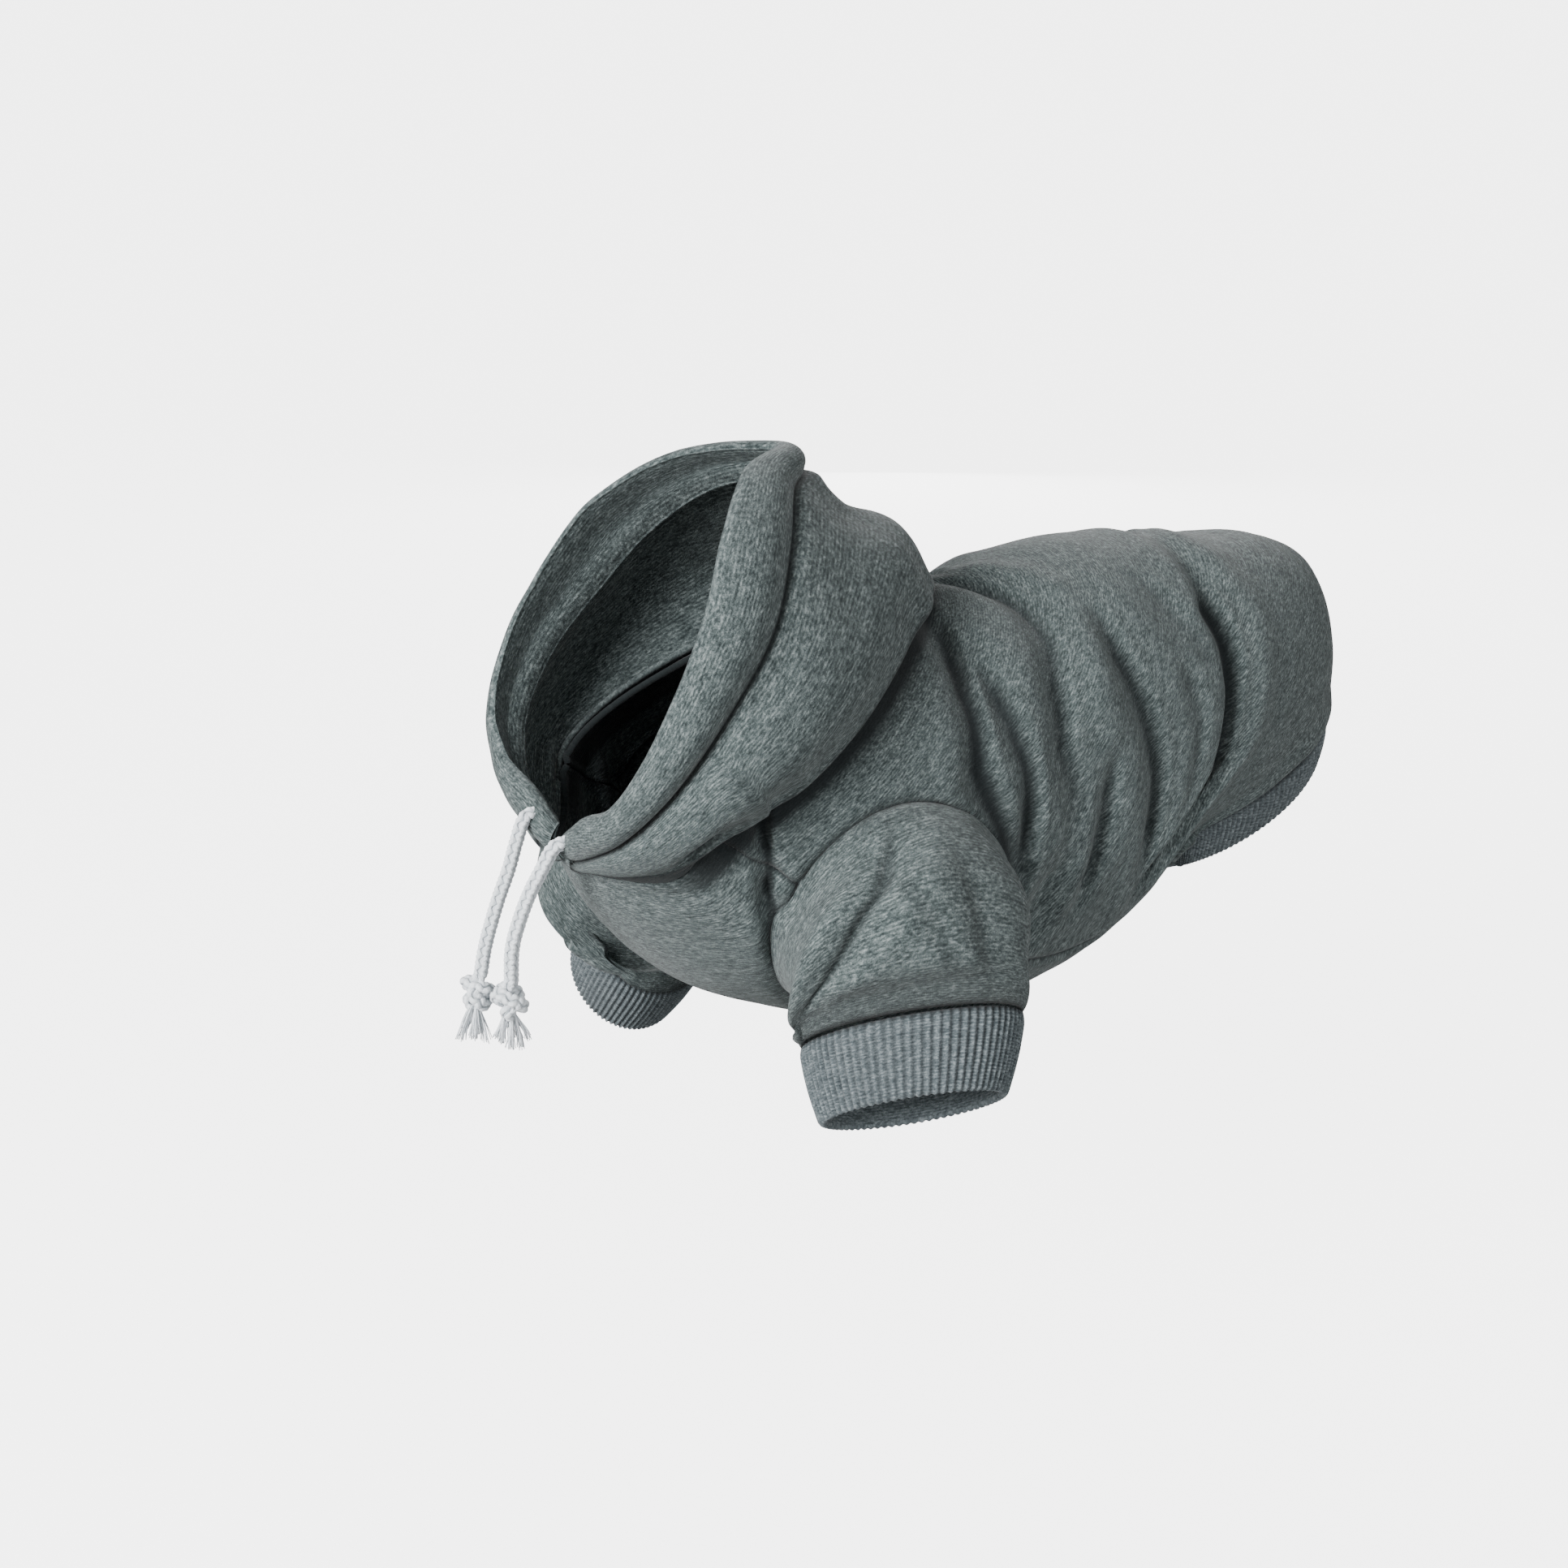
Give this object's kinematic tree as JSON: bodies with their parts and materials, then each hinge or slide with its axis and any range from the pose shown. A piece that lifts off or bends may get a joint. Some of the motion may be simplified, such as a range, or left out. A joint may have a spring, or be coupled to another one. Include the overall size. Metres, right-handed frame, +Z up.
{
  "type": "pet hoodie",
  "caption": "Fleece hoodie for a small four-legged pet in its worn form: lying hood with braided drawstring, short sleeves with ribbed cuffs, ribbed hem band.",
  "frame": {"origin": "inner face of the back panel on the centre line over the middle of the back, where the garment rests on the wearer", "axes": "+Z up; -Y toward the neck opening and chest (front); +X toward the wearer's left"},
  "size_m": [0.2489, 0.4188, 0.2447],
  "materials": {
    "fleece": "brushed heather jersey, matte",
    "rib_knit": "ribbed knit, matte",
    "cord": "braided cotton, matte"
  },
  "bodies": {
    "root": {"back_panel": "fleece", "chest_panel": "fleece", "hood": "fleece", "sleeve_left": "fleece", "sleeve_right": "fleece", "cuff_left": "rib_knit", "cuff_right": "rib_knit", "waistband": "rib_knit", "drawstring_left": "cord", "drawstring_right": "cord", "knot_left": "cord", "knot_right": "cord", "tassel_left": "cord", "tassel_right": "cord"}
  },
  "joints": []
}
